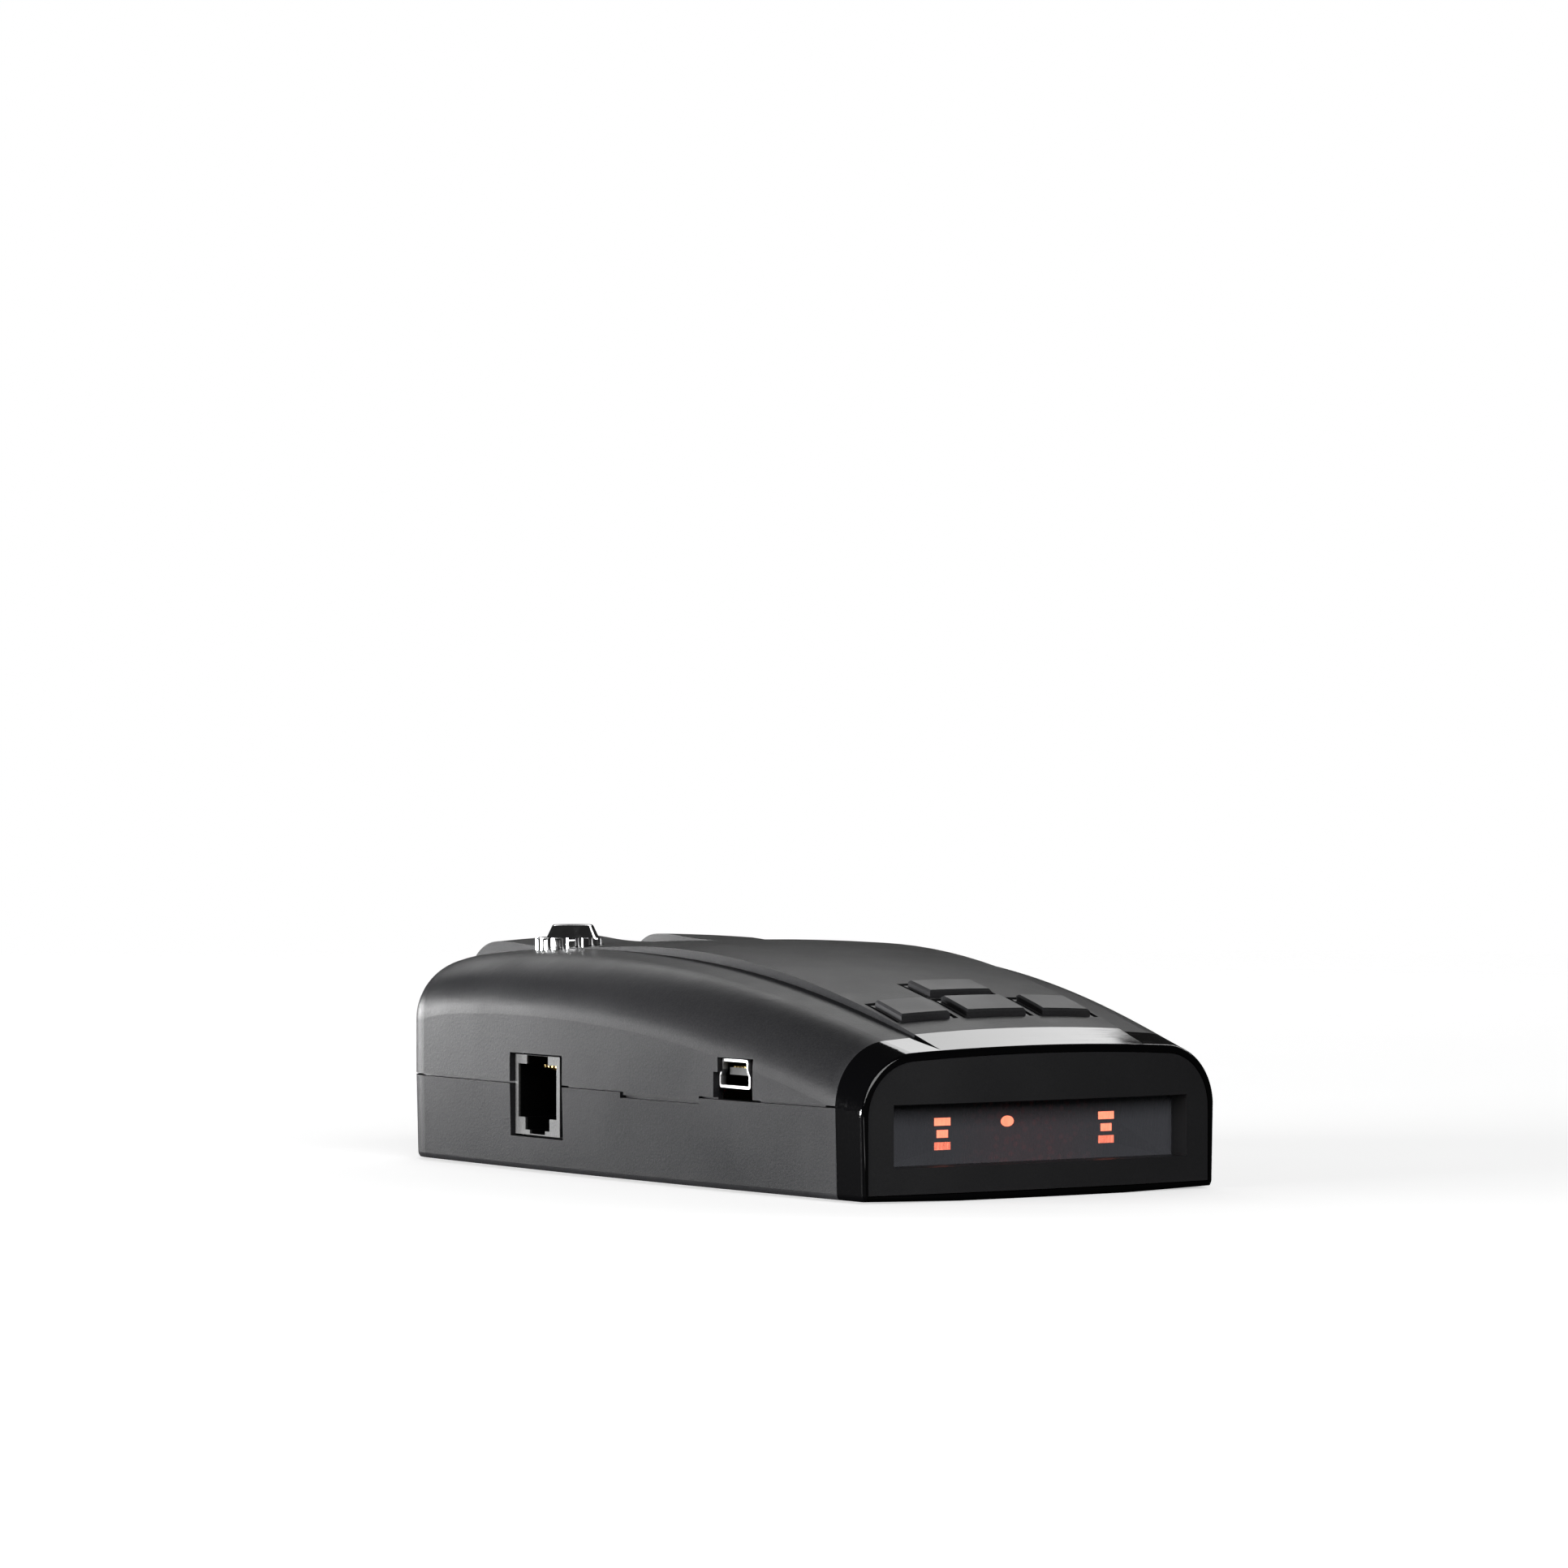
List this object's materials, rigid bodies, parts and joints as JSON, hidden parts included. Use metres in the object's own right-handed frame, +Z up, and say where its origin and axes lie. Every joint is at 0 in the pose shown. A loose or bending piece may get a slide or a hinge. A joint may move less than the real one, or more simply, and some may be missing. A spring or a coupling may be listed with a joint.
{
  "type": "radar detector",
  "caption": "Car radar detector: tapered two-part case with lit display window, top keys, data and power sockets in the side, and a top mount slot with a chrome release button.",
  "frame": {"origin": "centre of the underside, at the bottom of the bounding box", "axes": "+Z up, +Y towards the antenna end that faces the road, the display faces -Y, +X to the right as seen by someone reading the display"},
  "size_m": [0.0698, 0.1206, 0.0355],
  "materials": {
    "label_silver": "matt silver label, blank",
    "connector_black": "moulded",
    "screw_steel": "zinc plated",
    "capacitor_can": "satin can",
    "screw_black": "black oxide",
    "bezel_gloss": "polished black",
    "board_green": "solder mask",
    "module_grey": "matte",
    "display_light": "lit red-orange",
    "window_smoke": "smoked, matte coated",
    "face_black": "satin",
    "patch_ceramic": "fired ceramic",
    "cast_alloy": "as cast",
    "contact_gold": "gold plated",
    "switch_steel": "stamped",
    "lens_dark": "dark red, polished",
    "chip_black": "moulded epoxy",
    "spring_steel": "spring wire",
    "case_black": "fine spark texture, satin",
    "key_black": "fine texture",
    "jack_plastic": "stippled",
    "button_chrome": "chrome plated",
    "shield_steel": "tinned",
    "cone_paper": "pressed pulp",
    "gasket_foam": "closed-cell foam",
    "lead_red": "insulated wire",
    "magnet_grey": "ferrite",
    "shell_steel": "bright nickel"
  },
  "bodies": {
    "case": {"blank_label": "label_silver", "board_header": "connector_black", "board_screws": "screw_steel", "capacitors": "capacitor_can", "case_screws": "screw_black", "display_bezel": "bezel_gloss", "display_board": "board_green", "display_module": "module_grey", "display_segments": "display_light", "display_window": "window_smoke", "face_panel": "face_black", "gps_antenna": "patch_ceramic", "horn_antenna": "cast_alloy", "jack_contacts": "contact_gold", "key_switches": "switch_steel", "laser_board": "board_green", "laser_lens": "lens_dark", "laser_sensor": "chip_black", "laser_tube": "connector_black", "latch_spring": "spring_steel", "lower_case": "case_black", "main_board": "board_green", "mount_channel": "case_black", "phone_jack": "jack_plastic", "processor_chip": "chip_black", "rf_board": "board_green", "rf_shield": "shield_steel", "speaker_cone": "cone_paper", "speaker_frame": "screw_steel", "speaker_gasket": "gasket_foam", "speaker_leads": "lead_red", "speaker_magnet": "magnet_grey", "support_chips": "chip_black", "upper_case": "case_black", "usb_contacts": "contact_gold", "usb_shell": "shell_steel", "usb_tongue": "connector_black"},
    "volume_down_key": {"volume_down_key": "key_black"},
    "mute_key": {"mute_key": "key_black"},
    "volume_up_key": {"volume_up_key": "key_black"},
    "power_key": {"power_key": "key_black"},
    "mount_release": {"release_button": "button_chrome", "latch_plate": "connector_black", "latch_screw": "screw_steel"}
  },
  "joints": [
    {"name": "volume_down_key_press", "type": "slide", "parent": "case", "child": "volume_down_key", "axis": [0, 0, -1], "range_m": [0, 0.0005], "stiffness_N_per_m": 1500, "springref_m": -0.0003},
    {"name": "mute_key_press", "type": "slide", "parent": "case", "child": "mute_key", "axis": [0, 0, -1], "range_m": [0, 0.0005], "stiffness_N_per_m": 1500, "springref_m": -0.0003},
    {"name": "volume_up_key_press", "type": "slide", "parent": "case", "child": "volume_up_key", "axis": [0, 0, -1], "range_m": [0, 0.0005], "stiffness_N_per_m": 1500, "springref_m": -0.0003},
    {"name": "power_key_press", "type": "slide", "parent": "case", "child": "power_key", "axis": [0, 0, -1], "range_m": [0, 0.0005], "stiffness_N_per_m": 1500, "springref_m": -0.0003},
    {"name": "mount_release_press", "type": "slide", "parent": "case", "child": "mount_release", "axis": [0, 0, -1], "range_m": [0, 0.0018], "stiffness_N_per_m": 700, "springref_m": -0.0015, "deforming": ["latch_spring"]}
  ]
}
